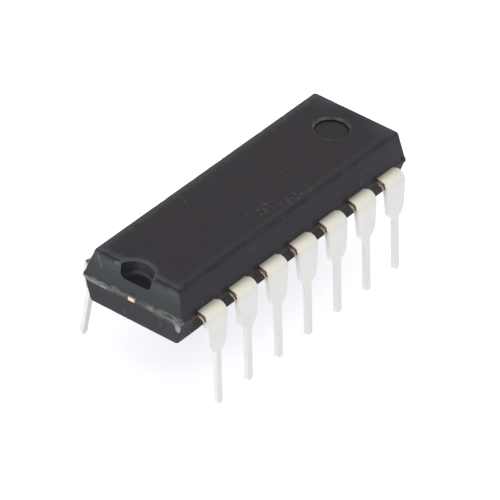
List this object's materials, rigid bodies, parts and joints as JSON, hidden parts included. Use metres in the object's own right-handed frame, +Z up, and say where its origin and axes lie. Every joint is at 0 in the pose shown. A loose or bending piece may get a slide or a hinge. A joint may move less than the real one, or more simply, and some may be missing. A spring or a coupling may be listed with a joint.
{
  "type": "dip integrated circuit chip",
  "caption": "Dual in-line integrated circuit: a black moulded body with an index notch, on two rows of bent and tinned through-hole leads.",
  "frame": {"origin": "on the plane of the lead tips, under the middle of the body", "axes": "+X along the body, from the index notch to the far end; +Y from the row of leads 1 to 7 to the row of leads 8 to 14; +Z up, away from the board"},
  "size_m": [0.0192, 0.009, 0.0071],
  "materials": {
    "moulding": "matte moulded epoxy, finely grained",
    "tinned_lead": "satin tin plating over copper alloy",
    "lead_frame_copper": "bare copper alloy, sheared ends",
    "silicon": "polished",
    "die_adhesive": "silver-filled epoxy",
    "bond_gold": "drawn gold wire"
  },
  "bodies": {
    "root": {"mould_body": "moulding", "die_pad": "lead_frame_copper", "die_attach": "die_adhesive", "silicon_die": "silicon", "lead_01": "tinned_lead", "lead_02": "tinned_lead", "lead_03": "tinned_lead", "lead_04": "tinned_lead", "lead_05": "tinned_lead", "lead_06": "tinned_lead", "lead_07": "tinned_lead", "lead_08": "tinned_lead", "lead_09": "tinned_lead", "lead_10": "tinned_lead", "lead_11": "tinned_lead", "lead_12": "tinned_lead", "lead_13": "tinned_lead", "lead_14": "tinned_lead", "bond_wire_01": "bond_gold", "bond_wire_02": "bond_gold", "bond_wire_03": "bond_gold", "bond_wire_04": "bond_gold", "bond_wire_05": "bond_gold", "bond_wire_06": "bond_gold", "bond_wire_07": "bond_gold", "bond_wire_08": "bond_gold", "bond_wire_09": "bond_gold", "bond_wire_10": "bond_gold", "bond_wire_11": "bond_gold", "bond_wire_12": "bond_gold", "bond_wire_13": "bond_gold", "bond_wire_14": "bond_gold"}
  },
  "joints": []
}
